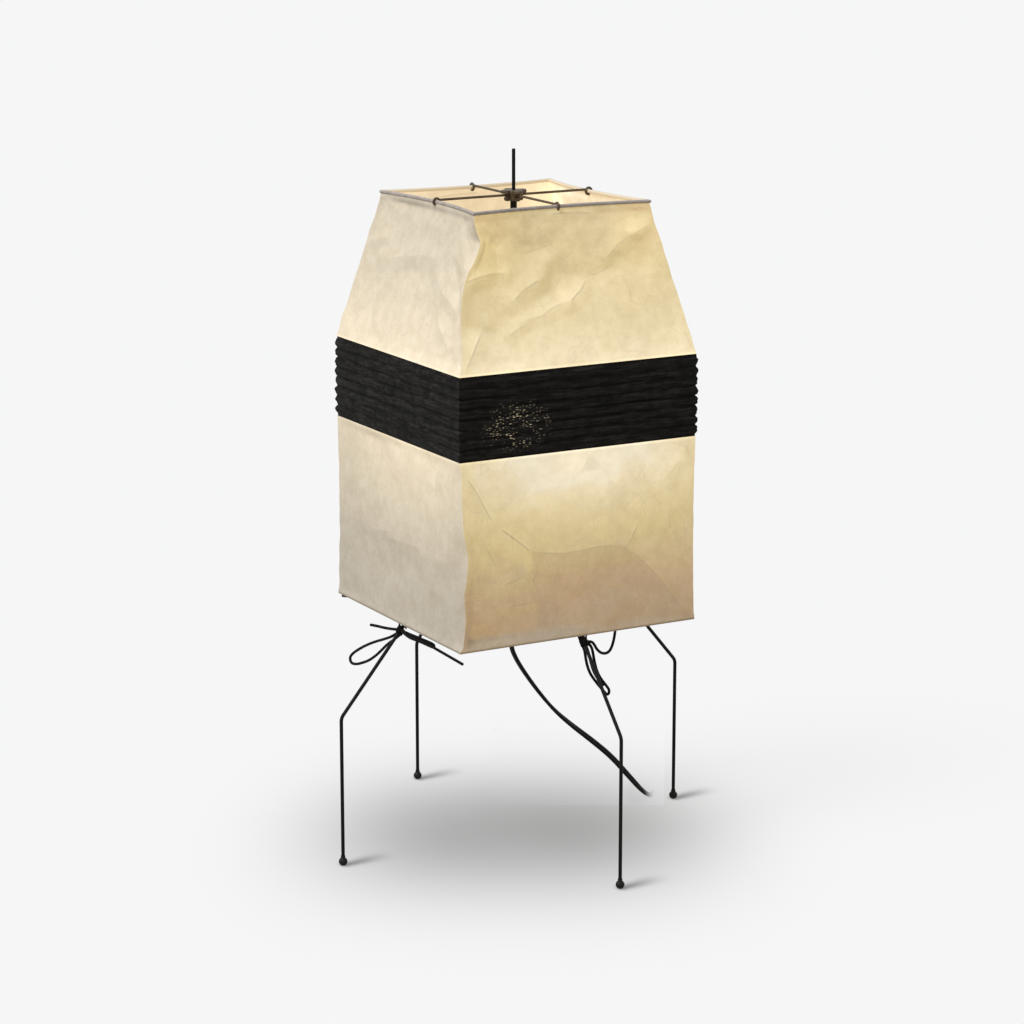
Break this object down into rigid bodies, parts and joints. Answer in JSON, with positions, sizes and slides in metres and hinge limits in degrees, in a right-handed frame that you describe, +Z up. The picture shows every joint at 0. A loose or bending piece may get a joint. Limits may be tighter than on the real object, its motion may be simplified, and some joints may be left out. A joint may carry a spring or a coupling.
{
  "type": "paper floor lamp",
  "caption": "Square paper lantern with a ribbed black band, hung from hooked wire arms on a thin post with bent wire legs, with a cord, switch and plug.",
  "frame": {"origin": "on the floor under the post's axis", "axes": "+Z up along the post, -Y towards the wide face that the picture shows, +X to its right"},
  "size_m": [0.4411, 0.4921, 0.688],
  "materials": {
    "black_wire": "satin black coated steel wire and fittings",
    "black_rubber": "matte black",
    "paper": "uneven cream handmade paper",
    "rim_paper": "wound paper strip",
    "rim_wire": "plain drawn wire",
    "black_paper": "matte black dyed paper",
    "hoop_wire": "plain drawn wire",
    "hub_metal": "satin",
    "arm_wire": "satin",
    "socket_plastic": "matte",
    "socket_ceramic": "matte",
    "socket_brass": "satin",
    "screw_steel": "satin",
    "bulb_glass": "frosted white, lit",
    "bulb_cap": "satin",
    "bulb_tip": "satin",
    "cord": "matte black flat flex",
    "switch_plastic": "satin",
    "plug_brass": "polished",
    "coil_band": "matte",
    "string": "waxed black cotton string"
  },
  "bodies": {
    "stand": {"leg_front": "black_wire", "leg_left": "black_wire", "leg_back": "black_wire", "leg_right": "black_wire", "post_tube": "black_wire", "top_rod": "black_wire", "leg_boss": "black_wire", "post_nut": "black_wire", "socket_bracket": "black_wire", "foot_front": "black_rubber", "foot_left": "black_rubber", "foot_back": "black_rubber", "foot_right": "black_rubber", "cord_gland": "black_rubber", "socket_cup": "socket_plastic", "socket_insulator": "socket_ceramic", "socket_shell": "socket_brass", "socket_contact": "socket_brass", "socket_screws": "screw_steel", "switch_screws": "screw_steel", "socket_lead": "cord", "cord_drop": "cord", "cord_link": "cord", "cord_coil": "cord", "cord_end": "cord", "switch_base": "switch_plastic", "switch_cover": "switch_plastic", "plug_body": "switch_plastic", "plug_blades": "plug_brass", "coil_tie": "coil_band", "tie_front": "string", "tie_left": "string", "tie_back": "string", "tie_right": "string"},
    "shade": {"upper_paper_front": "paper", "upper_paper_left": "paper", "upper_paper_back": "paper", "upper_paper_right": "paper", "lower_paper_front": "paper", "lower_paper_left": "paper", "lower_paper_back": "paper", "lower_paper_right": "paper", "black_band": "black_paper", "band_hoops": "hoop_wire", "bottom_rim_wire": "rim_wire", "top_rim_wire": "rim_wire", "top_rim_binding": "rim_paper", "hub_core": "hub_metal", "hub_cap": "hub_metal", "arm_front": "arm_wire", "arm_left": "arm_wire", "arm_back": "arm_wire", "arm_right": "arm_wire"},
    "bulb": {"bulb_glass": "bulb_glass", "bulb_cap": "bulb_cap", "bulb_tip": "bulb_tip"},
    "rocker": {"switch_rocker": "switch_plastic"}
  },
  "joints": [
    {"name": "shade_lift", "type": "slide", "parent": "stand", "child": "shade", "axis": [0, 0, 1], "range_m": [0, 0.46], "deforming": ["tie_front", "tie_left", "tie_back", "tie_right"]},
    {"name": "bulb_out", "type": "slide", "parent": "stand", "child": "bulb", "axis": [0, 0, 1], "range_m": [0, 0.03]},
    {"name": "rocker_tilt", "type": "hinge", "parent": "stand", "child": "rocker", "pos_m": [0.23, 0.1485, 0.012], "axis": [1, 0, 0], "range_deg": [0, 14]}
  ]
}
